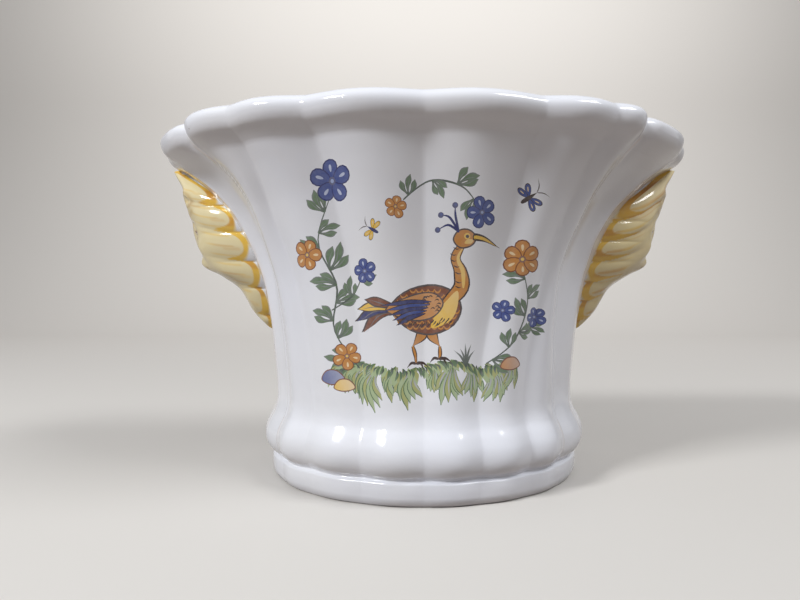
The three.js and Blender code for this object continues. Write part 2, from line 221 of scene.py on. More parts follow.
def along(stations, where):
    """A smooth value through (place, value) stations."""
    at, value = np.array(stations, float).T
    slope = np.zeros(len(at))
    slope[1:-1] = (value[2:] - value[:-2]) / (at[2:] - at[:-2])
    slope[-1] = (value[-1] - value[-2]) / (at[-1] - at[-2])
    where = np.clip(where, at[0], at[-1])
    i = np.clip(np.searchsorted(at, where, side="right") - 1, 0, len(at) - 2)
    span = at[i + 1] - at[i]
    t = (where - at[i]) / span
    rise = value[i] * (2 * t**3 - 3 * t**2 + 1) + value[i + 1] * (3 * t**2 - 2 * t**3)
    return rise + span * (slope[i] * (t**3 - 2 * t**2 + t) + slope[i + 1] * (t**3 - t**2))


def bell(value, spread):
    return np.exp(-((value / spread) ** 2))


# Settings


def millimetres(name, description, default):
    return FloatProperty(name=name, description=description, default=default, min=0, unit="NONE")


def colour(name, description, default):
    return FloatVectorProperty(
        name=name, description=description, default=default, size=3, subtype="COLOR", min=0, max=1
    )


class HolderSizes(PropertyGroup):
    """Sizes of the modelling that the potter's hand sets, in millimetres"""

    flute_foot: millimetres("Flute at the foot", "Rise of a flute above the foot", 2.0)
    flute_mouth: millimetres("Flute at the mouth", "Rise of a flute under the rim", 3.4)
    thread: millimetres("Thread", "Height of the raised line down each corner", 0.6)
    unevenness: millimetres("Unevenness", "How far the hand-pressed wall wanders", 0.35)


class HolderColours(PropertyGroup):
    """Colours of the glazes and the paints"""

    glaze: colour("Tin glaze", "The white ground", (0.80, 0.815, 0.86))
    thin_glaze: colour("Thin glaze", "Where the glaze runs thin over an edge", (0.72, 0.62, 0.56))
    mask_glaze: colour("Mask glaze", "The pale ground of the lion masks", (0.78, 0.69, 0.42))
    straw: colour("Straw yellow", "Manes and the lightest yellow", (0.78, 0.49, 0.055))
    ochre: colour("Ochre", "Yellow petals and plumage", (0.52, 0.205, 0.018))
    rust: colour("Rust", "Outlines of the yellow flowers, brown plumage", (0.17, 0.04, 0.006))
    manganese: colour("Manganese brown", "Outlines", (0.03, 0.01, 0.008))
    blue: colour("Cobalt", "Dark blue", (0.010, 0.016, 0.13))
    sky: colour("Light cobalt", "Blue petals", (0.022, 0.052, 0.26))
    mist: colour("Palest cobalt", "Lights on the blue petals", (0.26, 0.34, 0.60))
    leaf: colour("Leaf green", "Leaves", (0.075, 0.15, 0.055))
    dark_leaf: colour("Dark green", "Stems and veins", (0.015, 0.04, 0.018))
    meadow: colour("Meadow green", "Pale ground", (0.34, 0.44, 0.22))
    moss: colour("Moss green", "Yellowish ground", (0.35, 0.37, 0.11))
    floor: colour("Floor", "The plain floor and backdrop", (0.66, 0.64, 0.61))


# The moulded wall


def flute_rise(height, sizes):
    return mix(sizes.flute_foot, sizes.flute_mouth, np.clip((height - WAIST_Z) / (MOUTH_Z - WAIST_Z), 0, 1))


def wall_section(height, sizes):
    """Off, flute, share of the cove, notch and thread of the wall between the foot and the rim."""
    low = height < FOOT_TOP
    off, rise = (along([(row[0], row[k]) for row in FOOT_PROFILE], height) for k in (1, 2))
    off, flute = np.where(low, off, 0), np.where(low, rise, flute_rise(height, sizes))
    thread = sizes.thread * mix(0.6, 1, smooth((height - 60) / 60)) * smooth((height - 13) / 10)
    return off, flute, smooth((height - 30) / 16), 0.6 * smooth((height - 60) / 60), thread


def wall_rows(sizes):
    """Rows of the whole skin, from under the foot over the rim to the floor inside.

    Each is (height, off, flute, corner, notch, thread, back off, back height).
    """
    rows = []

    def add(height, off, flute=0.0, corner=0.0, notch=0.0, thread=0.0, behind=None):
        back_off, back_height = behind or (min(off, 0), height)
        rows.append((height, off, flute, corner, notch, thread, back_off, back_height))

    for height, off in UNDERSIDE:
        add(height, off, flute=0.3 if off > -5 else 0)
    for height in np.concatenate([np.linspace(*span) for span in ROW_SPANS]):
        add(height, *wall_section(height, sizes))
    roll = np.array(RIM_ROLL)
    steps = np.linspace(0, len(roll) - 1, RIM_STEPS)
    heights, offs = (along(list(enumerate(column)), steps) for column in roll.T)
    for step, height, off in zip(steps, heights, offs):
        fade = smooth((off + 6.9) / 8) if step > 1 else 1
        grow = smooth(step / 2)
        turned = math.pi * np.clip((6.3 - off) / 14.3, 0, 1)
        behind = (0, min(height, HEIGHT - BACK_LIP))
        if step > 4:
            behind = (BACK_LIP * (math.cos(turned) - 1), HEIGHT - BACK_LIP + BACK_LIP * math.sin(turned))
        if step > 9:
            behind = (-WALL, height)
        thread = sizes.thread * (1 - smooth(step / 4))
        notch = mix(0.6, RIM_NOTCH, grow) * fade
        add(height, off, flute_rise(height, sizes) * fade, fade, notch, thread, behind)
    for height, off in INSIDE:
        add(height, off)
    return np.array(rows, float)


def flute_edges(hand, height):
    return [along(edge, height) for edge in (*CREASES[hand], PANEL_EDGE[hand])]


def relief(turn, hand, height, flute, corner, notch, thread):
    """How far the moulded outside stands off the plain oval, and how thin the glaze lies there."""
    inner, outer, panel = flute_edges(hand, height)
    edge = along(CORNER_EDGE[hand], height)
    corner_notch = CORNER_NOTCH[hand] / RIM_NOTCH * bell(turn - edge, CORNER_SPREAD)
    stand = -notch * (bell(turn - panel, NOTCH_SPREAD) + corner_notch)
    for low, high in ((0, inner), (inner, outer), (outer, panel)):
        across = np.clip((turn - low) / (high - low), 0, 1)
        inside = (turn >= low) & (turn < high)
        stand = stand + inside * flute * (np.sin(math.pi * across) ** FLUTE_SHARPNESS - FLUTE_SINK)
    filled = CREASE_FILL[hand] * smooth((height - 90) / 60)
    stand = stand + filled * flute * bell(turn - outer, FILL_SPREAD) * (turn < panel)
    across = np.clip((turn - panel) / (edge - panel), 0, 1)
    cove = mix(-0.6, -CORNER_COVE, smooth((height - 60) / 55))
    hollow = corner * mix(cove, CORNER_LOBE[hand], smooth((height - 142) / 9))
    cove = mix(-flute * FLUTE_SINK, 0, smooth(across)) + hollow * np.sin(math.pi * across)
    stand = stand + ((turn >= panel) & (turn < edge)) * cove
    bead = thread * (bell(turn - panel, 0.75) + 0.6 * bell(turn - edge, 0.9))
    return stand + bead, np.clip(bead / 0.6, 0, 1)


def outside_point(turn, hand, height, off, stand):
    """A point of the wall at a turn in degrees from the middle of the front."""
    a, b = along(SIDE_FLARE, height), along(FRONT_FLARE, height)
    angle = np.radians(turn)
    normal = np.stack([b * np.sin(angle), -a * np.cos(angle)])
    normal /= np.linalg.norm(normal, axis=0)
    x = a * np.sin(angle) + normal[0] * (off + stand)
    y = -b * np.cos(angle) + normal[1] * (off + stand)
    return hand * x, y


def wander(turn, hand, height, sizes):
    """The slow unevenness of a wall pressed by hand."""
    angle = np.radians(turn) * hand
    waves = np.sin(3.1 * angle + height / 17) + np.sin(5.3 * angle - height / 29 + 1.3)
    return sizes.unevenness * 0.5 * waves * np.cos(np.radians(turn)) ** 2


def moulded_point(turn, hand, height, off, moulding, sizes):
    """A point of the modelled outside, and how thin the glaze lies there."""
    flute = moulding[0]
    stand, thin = relief(turn, hand, height, *moulding)
    stand = stand * (flute > 0) + wander(turn, hand, height, sizes) * np.clip(flute, 0, 1)
    return *outside_point(turn, hand, height, off, stand), thin * (flute > 0)


def turn_stops(hand, height):
    """Turns of the columns at a height, bunched at the creases and the raised lines."""
    inner, outer, panel = flute_edges(hand, height)
    edge = along(CORNER_EDGE[hand], height)
    flat = np.zeros_like(height)
    stops = [
        flat, inner, outer, panel - 5, panel - 1.8, panel + 1.8, panel + 5, edge - 2, edge + 2, flat + 90,
    ]
    turns = []
    for k, count in enumerate(FRONT_STEPS):
        t = np.arange(count) / count
        if k < 2:
            t = mix(t, (1 - np.cos(math.pi * t)) / 2, 0.7)
        turns += [mix(stops[k], stops[k + 1], share) for share in t]
    return np.array([*turns, flat + 90]).T


def skin_rows(sizes):
    """Every point of the skin as rows by columns, with the thinness of the glaze."""
    rows = wall_rows(sizes)
    height, off, *moulding, back_off, back_height = (column[:, None] for column in rows.T)
    halves = []
    for hand in (-1, 1):
        turn = turn_stops(hand, height[:, 0])
        level = np.broadcast_to(height, turn.shape)
        x, y, thin = moulded_point(turn, hand, level, off, moulding, sizes)
        columns = [(x, y, level, thin)]
        end_x = along(SIDE_FLARE, height) + off
        back_y = BACK_Y + back_off
        corner_y = back_y - CORNER_RADIUS
        for share in np.arange(1, SIDE_STEPS + 1) / SIDE_STEPS:
            z = mix(height, back_height, smooth((share - 0.75) / 0.25) * 0.5)
            columns.append((hand * end_x, corner_y * share, z, 0 * z))
        for step in np.arange(1, CORNER_STEPS + 1) / CORNER_STEPS:
            angle = step * math.pi / 2
            z = mix(height, back_height, 0.5 + smooth(step) * 0.5)
            x = end_x - CORNER_RADIUS * (1 - math.cos(angle))
            columns.append((hand * x, corner_y + CORNER_RADIUS * math.sin(angle), z, 0 * z))
        for share in np.linspace(1, 0, BACK_STEPS + 1)[1:]:
            columns.append((hand * (end_x - CORNER_RADIUS) * share, back_y, back_height, 0 * back_height))
        stacked = [
            np.concatenate([np.broadcast_to(c[k], (len(rows), c[k].shape[1])) for c in columns], axis=1)
            for k in range(4)
        ]
        halves.append(np.stack(stacked, axis=-1))
    left = halves[0][:, ::-1][:, :-1]
    skin = np.concatenate([left, halves[1]], axis=1)
    # The first and last rows close on the middle of the underside and of the floor inside
    for row, level in ((0, FOOT_RECESS), (-1, FLOOR_Z)):
        skin[row, :, :] = (0, CLOSING_Y, level, 0)
    return skin


def piece_from(bm, name):
    """The finished bmesh as an object of the scene."""
    mesh = bpy.data.meshes.new(name)
    bm.to_mesh(mesh)
    bm.free()
    piece = bpy.data.objects.new(name, mesh)
    bpy.context.scene.collection.objects.link(piece)
    return piece


def soften(bm):
    for face in bm.faces:
        face.smooth = True


def sheet_from(name, grid, values, patch=None):
    """A grid whose vertices go to the rows and columns given, welded where its edges meet.

    The values are the thinness of the glaze and the paint. A patch takes the place of a window of the grid.
    """
    rows, columns = grid.shape[:2]
    bm = bmesh.new()
    bmesh.ops.create_grid(bm, x_segments=columns - 1, y_segments=rows - 1, size=1)
    thin = bm.verts.layers.float.new("thin_glaze")
    painting = bm.verts.layers.float_color.new("painting")
    points = place(grid[..., :3])
    cells = {}
    for vert in bm.verts:
        i = round((vert.co.x + 1) / 2 * (columns - 1))
        j = round((vert.co.y + 1) / 2 * (rows - 1))
        cells[vert] = (j, i)
        vert.co = points[j, i]
        vert[thin] = values[j, i, 0]
        vert[painting] = values[j, i, 1:]
    if patch:
        add_patch(bm, cells, *patch)
    border = [vert for vert in bm.verts if vert.is_boundary]
    bmesh.ops.remove_doubles(bm, verts=border, dist=WELD)
    bmesh.ops.recalc_face_normals(bm, faces=bm.faces[:])
    soften(bm)
    piece = piece_from(bm, name)
    if patch:
        # Away from the patch the vertices hold no facing of their own
        facings = [Vector(item.vector) for item in piece.data.attributes["facing"].data]
        pairs = zip(facings, piece.data.vertices)
        normals = [facing if facing.length > 0.5 else vert.normal for facing, vert in pairs]
        piece.data.normals_split_custom_set_from_vertices(normals)
    return piece


def add_patch(bm, cells, window, points, normals, triangles, colours):
    """Puts painted triangles in the place of a window of the grid."""
    (low, high), (first, last) = window
    inside = {vert for vert, (j, i) in cells.items() if low <= j <= high and first <= i <= last}
    doomed = [face for face in bm.faces if all(vert in inside for vert in face.verts)]
    bmesh.ops.delete(bm, geom=doomed, context="FACES")
    facing = bm.verts.layers.float_vector.new("facing")
    brushed = bm.loops.layers.float_color.new("brushwork")
    for face in bm.faces:
        for loop in face.loops:
            loop[brushed] = (0, 0, 0, 0)
    verts = []
    for point, normal in zip(place(points), normals):
        vert = bm.verts.new(point)
        vert[facing] = normal
        verts.append(vert)
    for triangle, colour in zip(triangles, colours):
        face = bm.faces.new([verts[i] for i in triangle])
        for loop, value in zip(face.loops, colour):
            loop[brushed] = value


# The painted front


def curve(points, steps=12, closed=False):
    """A smooth line through a few (across, up) points."""
    points = np.array([points[-1], *points, points[0], points[1]] if closed else points, float)
    first, last = (1, len(points) - 2) if closed else (0, len(points) - 1)
    where = np.linspace(first, last, steps, endpoint=not closed)
    return np.stack([along(list(enumerate(column)), where) for column in points.T], axis=-1)


def shortened(path, share):
    """The same few points, drawn in towards the first."""
    return [mix(path[0], point, share) for point in path]


def moved(points, x, z):
    """The points of a small form, set at (x, z)."""
    return [(x + dx, z + dz) for dx, dz in points]


def heading(turn):
    return np.array((math.cos(math.radians(turn)), math.sin(math.radians(turn))))


class Painting:
    """Brushwork on the front, in millimetres across and up; what is laid later covers what is under it."""

    def __init__(self, colours):
        self.paint = {name: tuple(getattr(colours, name)) for name in HolderColours.__annotations__}
        self.strokes = []
        self.dice = random.Random(11)
        self.vary = self.dice.uniform

    def lay(self, outline, paint, ink=(0.9, 0.9), run=None):
        """A patch of paint; its ink goes from one strength to the other along the run."""
        outline = np.array(outline, float)
        run = run if run is not None else (outline[0], outline[len(outline) // 2])
        self.strokes.append((outline, self.paint[paint], ink, np.array(run, float)))

    def brush(self, path, width, paint, ink=(0.95, 0.75), tip=0.15, press=0.7, steps=12):
        """One stroke along a path, thickest after its start where the press is low."""
        path = curve(path, steps)
        t = np.linspace(0, 1, steps)
        way = np.gradient(path, axis=0)
        way /= np.linalg.norm(way, axis=1)[:, None] + TINY
        side = np.stack([-way[:, 1], way[:, 0]], axis=-1)
        pressed = np.clip(np.sin(math.pi * t**press), tip, 1) * np.sqrt(1 - 0.92 * t**10)
        half = width / 2 * pressed[:, None]
        self.lay([*(path + side * half), *(path - side * half)[::-1]], paint, ink, (path[0], path[-1]))

    def line(self, path, width, ink=(1, 1), **how):
        """A stroke of the brown that outlines the bird."""
        self.brush(path, width, "manganese", ink, **how)

    def tick(self, x, z, *path):
        """A short fine line, its points given from (x, z)."""
        self.line(moved(path, x, z), 0.5, (1, 0.95), steps=6)

    def shape(self, points, paint, ink=(0.9, 0.8), rim=0.0, rim_paint="manganese", steps=26):
        """A closed patch, with a darker line of the given width round it."""
        outline = curve(points, steps, closed=True)
        if rim:
            middle = outline.mean(axis=0)
            reach = np.linalg.norm(outline - middle, axis=1)[:, None]
            self.lay(middle + (outline - middle) * (1 + rim / reach), rim_paint, (0.95, 0.95))
        self.lay(outline, paint, ink, (outline[0], outline[steps // 2]))

    def petal(self, root, turn, length, width, paint, rim_paint, light_paint):
        t = np.linspace(0, 2 * math.pi, 15)[:-1]
        out, across = heading(turn), heading(turn + 90)
        for paint_here, size, narrow, ink in (
            (rim_paint, 1, 1, (1, 1)), (paint, 0.86, 1, (1, 0.95)), (light_paint, 0.36, 0.5, (0.8, 0.5)),
        ):
            far = length * (0.56 - size / 2 * np.cos(t)) + (0.06 * length if narrow < 1 else 0)
            wide = width / 2 * size * narrow * np.sin(t) * (0.8 - 0.2 * np.cos(t))
            outline = root + far[:, None] * out + wide[:, None] * across
            self.lay(outline, paint_here, ink, (root, root + out * length))

    def flower(self, x, z, radius, kind, petals, turn):
        paints = FLOWERS[kind]
        for k in range(petals):
            length = radius * self.vary(0.92, 1.08)
            lean = turn + 360 * k / petals + self.vary(-5, 5)
            self.petal(np.array((x, z)), lean, length, radius * 1.04, *paints)
        self.dot(x, z, radius * 0.2, paints[1])
        self.dot(x, z, radius * 0.1, paints[2])

    def dot(self, x, z, radius, paint):
        t = np.linspace(0, 2 * math.pi, 11)[:-1]
        self.lay(np.stack([x + radius * np.cos(t), z + radius * np.sin(t)], axis=-1), paint)

    def leaves(self, x, z, turn, size, fingers=3, spread=34):
        """A spray of curved strokes from one point, each with a darker line down it."""
        root = np.array((x, z))
        for k in range(fingers):
            lean = (k - (fingers - 1) / 2) * spread + self.vary(-6, 6)
            length = size * (1 - 0.22 * abs(k - (fingers - 1) / 2)) * self.vary(0.9, 1.1)
            bend = math.copysign(18, lean + 0.1)
            bow, tip = heading(turn + lean) * length * 0.5, heading(turn + lean - bend * 0.6) * length
            path = [root, root + bow, root + tip]
            self.brush(path, size * 0.3, "dark_leaf", (0.9, 0.75), tip=0.3, press=1.9)
            self.brush(shortened(path, 0.97), size * 0.23, "leaf", (1, 0.9), tip=0.25, press=1.9)
            self.brush(shortened(path, 0.8), size * 0.05, "dark_leaf", (0.9, 0.7), steps=7)

    def spray(self, path, leaf_size, sides=(1, -1), count=5, start=0.12):
        """A stem with sprays of leaves off both its sides."""
        self.brush(path, 0.75, "dark_leaf", (0.95, 0.9), tip=0.7, press=1, steps=22)
        line = curve(path, 60)
        for k in range(count):
            i = int(59 * mix(start, 0.9, k / max(1, count - 1)))
            way = line[min(i + 2, 59)] - line[max(i - 2, 0)]
            turn = math.degrees(math.atan2(way[1], way[0]))
            turn += sides[k % len(sides)] * self.vary(48, 66)
            self.leaves(*line[i], turn, leaf_size * self.vary(0.85, 1.1))

    def insect(self, x, z, turn, size, wings, body):
        here = np.array((x, z))
        for lean in (62, 105, -62, -105):
            self.petal(here, turn + lean, size * 0.62, size * 0.34, wings, "manganese", "straw")

        def reach(lean, share):
            return here + heading(turn + lean) * size * share

        self.brush([reach(0, -0.4), here, reach(0, 0.42)], size * 0.2, body, (1, 1))
        for lean in (16, -16):
            self.line([reach(0, 0.4), reach(lean, 0.66), reach(2 * lean, 0.92)], 0.4, (0.9, 0.9), steps=6)

    def frond(self, x, z, lean, length, count=7, spread=48):
        """Long drooping strokes from one root, each with a darker rib."""
        root = np.array((x, z))
        for k in range(count):
            turn = lean + spread * (k / (count - 1) - 0.5) + self.vary(-4, 4)
            reach = length * (1 - 0.4 * abs(k / (count - 1) - 0.5)) * self.vary(0.85, 1.08)
            bow = 18 * math.cos(math.radians(lean))
            path = [root, root + heading(turn + 2 * bow) * reach * 0.55, root + heading(turn - bow) * reach]
            self.brush(path, 2.8, "leaf", (1, 0.95), tip=0.4, press=1.7)
            green = "meadow" if k % 3 else "moss"
            self.brush(shortened(path, 0.98), 2.2, green, (1, 0.9), tip=0.35, press=1.7)
            self.brush(shortened(path, 0.85), 0.7, "dark_leaf", (0.7, 0.35), press=1.1, steps=9)

    def bank(self):
        """Feathery ground, combed down and outward from a rolling crest."""
        for x, z, lean, length in (
            (-31, 56, -146, 11), (-25, 57, -128, 15), (-18, 57, -116, 19), (-11, 57, -106, 14),
            (-3, 56.5, -112, 17), (5, 58, -92, 12), (12, 59, -98, 18), (19, 58, -82, 15), (26, 58, -70, 17),
            (32, 58, -52, 12),
        ):
            self.frond(x, z, lean, length)
        crest = curve(((-37, 54), (-25, 58.5), (-8, 56), (9, 60), (25, 57), (39, 60)), 80)
        for paint, ink, reach, width, count in (
            ("meadow", (1, 0.9), 7, 2.2, 44), ("moss", (1, 0.9), 6, 1.7, 26),
            ("leaf", (1, 0.9), 5, 1.2, 50), ("dark_leaf", (1, 0.8), 3.4, 0.7, 40),
        ):
            for k in range(count):
                root = crest[int(79 * (k + self.dice.random()) / count)] + (0, self.vary(-1.2, 0.5))
                lean = -90 + 46 * math.sin(root[0] / 11 + 0.8) + self.vary(-14, 14)
                tip = root + heading(lean) * reach * self.vary(0.6, 1.0)
                bow = mix(root, tip, 0.5) + (0.6 * math.copysign(1, math.cos(root[0] / 11)), 0.5)
                self.brush([root, bow, tip], width, paint, ink, tip=0.2, press=1.1, steps=9)

    def tail(self):
        """Four feathers, each with a rib."""
        for dx, dz, paint in (
            (-18, -9, "rust"), (-21, -4.5, "blue"), (-20, 0.5, "straw"), (-16.5, 4.5, "rust"),
        ):
            bow, end = (-8 + dx * 0.55, 81.5 + dz * 0.35), (-8 + dx, 80 + dz)
            self.line([(-7, 80), bow, end], 4.2, (0.95, 0.95), press=1.5)
            self.brush([(-7.5, 80), bow, (end[0] + 0.8, end[1])], 3.2, paint, (1, 0.95), press=1.5)
            rib = [(-9, 80), (bow[0], 81.3 + dz * 0.35), (end[0] + 2.2, end[1])]
            self.line(rib, 0.5, (0.95, 0.75), steps=8)

    def legs(self):
        for knee, foot in (((-4.6, 65.5), (-3.2, 58.2)), ((6.4, 65.5), (6.0, 60.2))):
            hip = (knee[0] * 0.4 + 1, 73)
            thigh = [hip, (hip[0] - 0.2, 70), knee]
            shin = [knee, ((knee[0] + foot[0]) / 2 + 0.3, 62), foot]
            self.line(thigh, 5, tip=0.25, press=0.8)
            self.brush(thigh, 3.8, "ochre", (1, 0.9), tip=0.2, press=0.8)
            self.line(shin, 1.7, tip=0.7)
            self.brush(shin, 0.9, "ochre", (1, 1), tip=0.7)
            for dx, dz in ((5.2, -1.2), (3.4, -2.6), (-3.6, -1.4)):
                toe = [foot, (foot[0] + dx * 0.5, foot[1] + 0.5), (foot[0] + dx, foot[1] + dz)]
                self.line(toe, 1.2, tip=0.3)

    def body(self):
        """The trunk with its rows of small feathers, and the neck."""
        neck = ((8, 82), (14.6, 89), (14.4, 95.5), (12.4, 101), (15.2, 106.5))
        body = ((-13, 81), (-7, 87.5), (3, 90), (11, 87.5), (14.5, 81), (11, 74), (2, 70.6), (-7, 73.5))
        self.shape(body, "rust", (1, 0.97), rim=0.75)
        for row in range(8):
            for k in range(11):
                x, z = -12 + 2.5 * k + 1.25 * (row % 2), 88.6 - 2.1 * row
                if ((x - 1) / 13.4) ** 2 + ((z - 80.6) / 9.4) ** 2 < 0.9:
                    feather = curve(moved(FEATHER, x, z), 9)
                    self.brush(feather, 0.75, "ochre", (1, 0.95), tip=0.5, press=1, steps=9)
        self.line(neck, 6.6, tip=0.62, press=0.55, steps=20)
        self.brush(neck, 5.3, "ochre", (1, 0.95), tip=0.62, press=0.55, steps=20)
        self.shape(((3, 73), (10, 75.5), (13.2, 81), (13.4, 88), (9, 84), (5, 79)), "straw", (1, 0.8))
        self.brush([(p[0] + 1.0, p[1]) for p in neck[1:]], 1.7, "straw", (0.9, 0.8), tip=0.3, steps=16)
        for spot in curve(neck[1:], 8):
            self.tick(*spot, (-2.2, 0.9), (-0.8, 0.2), (0.3, 0.6))

    def head(self):
        head = ((11.8, 108), (13.6, 111.2), (17.2, 111.6), (20, 109.2), (18.6, 106.2), (14.4, 105.2))
        self.shape(head, "ochre", (1, 0.9), rim=0.6)
        self.shape(((15.8, 106.6), (17, 108.2), (19.2, 108), (18.4, 106.6)), "straw", (0.9, 0.7), steps=14)
        self.line([(19, 109.2), (24, 108.4), (31, 105.2)], 2.9, tip=0.12, press=0.45)
        self.brush([(19.4, 109.0), (24, 108.3), (29.6, 105.7)], 1.6, "straw", (1, 0.9), tip=0.12, press=0.45)
        self.line([(19.6, 108.4), (24, 107.6), (29.6, 105.5)], 0.4, steps=8)
        self.dot(16.8, 109.4, 1.25, "straw")
        self.dot(16.9, 109.3, 0.7, "manganese")
        plumes = (((9.6, 113.6), (5.4, 111.8)), ((10, 116.4), (6.6, 117.4)), ((12.2, 117), (12, 121)))
        for bow, end in plumes:
            self.brush([(13.6, 110.8), bow, end], 0.95, "blue", (1, 1), tip=0.5, steps=14)
            self.dot(*end, 1.15, "blue")
            self.dot(end[0] + 0.2, end[1] + 0.2, 0.5, "sky")

    def wing(self):
        wing = ((-15, 80.5), (-6, 85.4), (3, 87), (7.4, 83), (3.4, 77.6), (-5, 76.4))
        self.shape(wing, "ochre", (0.95, 0.9), rim=0.6)
        for k, paint in enumerate(("blue", "sky", "blue", "sky", "blue")):
            z, bow, tip = 83.6 - k * 1.2, (-6, 83.4 - k * 1.6), (-17.5 + 1.6 * k, 82 - 2 * k)
            self.line([(3 - k * 0.6, z), bow, tip], 2.3, press=1.1)
            self.brush([(2.6 - k * 0.6, z), bow, (tip[0] + 0.6, tip[1])], 1.6, paint, (1, 0.95), press=1.1)

    def bird(self):
        """A crested wader in brown, ochre and blue."""
        for part in (self.tail, self.legs, self.body, self.head, self.wing):
            part()
        for _ in range(15):
            x, z = self.vary(0, 7), self.vary(79.5, 86)
            self.tick(x, z, (0, 0), (-0.9, 0.5), (-1.9, -0.3))
        for k in range(24):
            x = -9 + 20 * k / 23
            z = 73.6 + abs(x - 1) * 0.22 + self.vary(0, 2.4)
            self.tick(x, z, (0, 0), (-0.6, -1), (-1.6, -1.9))

    def design(self):
        self.bank()
        for turn in (60, 76, 92, 108, 126):
            x, z = heading(turn) * self.vary(7, 10)
            self.brush([(17, 57), (17 + x * 0.4, 57 + z * 0.6), (17 + x, 57 + z)], 0.9, "dark_leaf")
        self.spray(((-27, 56), (-37, 72), (-36, 90), (-43, 108), (-37, 128)), 10.5, count=9)
        self.spray(((-38, 80), (-30, 86), (-25, 94)), 8, count=2, start=0.5)
        self.spray(((26, 58), (37, 67), (43, 82), (40, 98)), 9.5, sides=(-1, 1), count=6)
        self.spray(((39.5, 71), (44, 71), (46.5, 73)), 6, count=2, start=0.5)
        self.spray(((-8, 123), (2, 130), (14, 128), (21, 121)), 9, count=4)
        for x, z, radius, kind, petals, turn in (
            (-36.5, 131, 7.8, "blue_flower", 5, 90), (-48, 103, 6.4, "ochre_flower", 5, 70),
            (-24, 96, 5, "blue_flower", 5, 100), (-32, 61, 5.4, "ochre_flower", 5, 60),
            (40, 101, 7, "ochre_flower", 6, 90), (48, 77, 4.4, "blue_flower", 5, 40),
            (32.5, 80, 4.4, "blue_flower", 5, 75), (22.5, 118.5, 5.6, "blue_flower", 5, 110),
            (-11, 120.5, 4.2, "ochre_flower", 5, 80),
        ):
            self.flower(x, z, radius, kind, petals, turn)
        for x, z, r, paint in ((-38, 51.5, 5.0, "sky"), (-33, 48.5, 4.0, "straw"), (36, 57.5, 4.2, "ochre")):
            stone = ((-r, -1), (-r * 0.5, r * 0.55), (r * 0.4, r * 0.6), (r, -0.6), (0, -r * 0.5))
            self.shape(moved(stone, x, z), paint, (0.9, 0.6), rim=0.5, rim_paint="rust")
        self.bird()
        self.insect(42, 125, 35, 8.5, "sky", "manganese")
        self.insect(-20, 112, 150, 6.5, "straw", "blue")


def front_surface(across, up, sizes):
    """Points of the moulded front, from millimetres across the plain oval and up."""
    across, up = np.asarray(across, float), np.asarray(up, float)
    turn = np.degrees(np.arcsin(np.clip(np.abs(across) / along(SIDE_FLARE, up), 0, 1)))
    off, *moulding = wall_section(up, sizes)
    points = np.zeros((len(up), 3))
    for hand in (-1, 1):
        x, y, _ = moulded_point(turn, hand, up, off, moulding, sizes)
        chosen = (across < 0) == (hand < 0)
        points[chosen] = np.stack([x, y, up], axis=-1)[chosen]
    return points


def winding(points, outline):
    """How many times an outline goes round each point."""
    turns = np.zeros(len(points), int)
    for (x0, z0), (x1, z1) in zip(outline, np.roll(outline, -1, axis=0)):
        left = (x1 - x0) * (points[:, 1] - z0) - (points[:, 0] - x0) * (z1 - z0)
        turns += (z0 <= points[:, 1]) & (z1 > points[:, 1]) & (left > 0)
        turns -= (z0 > points[:, 1]) & (z1 <= points[:, 1]) & (left < 0)
    return turns


def front_normals(spots, sizes):
    """Facings of the moulded front, from the slope round each spot."""

    def slope(x, z):
        near, far = (front_surface(spots[:, 0] + k * x, spots[:, 1] + k * z, sizes) for k in (-1, 1))
        return far - near

    normals = np.cross(slope(PROBE, 0), slope(0, PROBE))
    return normals / np.linalg.norm(normals, axis=1)[:, None]


def stroke_colours(spots, triangles, strokes):
    """Paint and ink at the corners of each triangle, from the last stroke over its middle."""
    middles = spots[triangles].mean(axis=1)
    top = np.zeros(len(triangles), int)
    for k, (outline, *_) in enumerate(strokes):
        boxed = (middles > outline.min(axis=0)) & (middles < outline.max(axis=0))
        near = np.flatnonzero(boxed.all(axis=1))
        top[near[winding(middles[near], outline) != 0]] = k + 1
    colours = []
    for triangle, stroke in zip(triangles, top):
        if stroke == 0:
            colours.append([(0, 0, 0, 0)] * 3)
            continue
        _, paint, ink, (start, end) = strokes[stroke - 1]
        reach = end - start
        t = np.clip((spots[triangle] - start) @ reach / (reach @ reach + TINY), 0, 1)
        colours.append([(*paint, float(mix(*ink, share))) for share in t])
    return colours


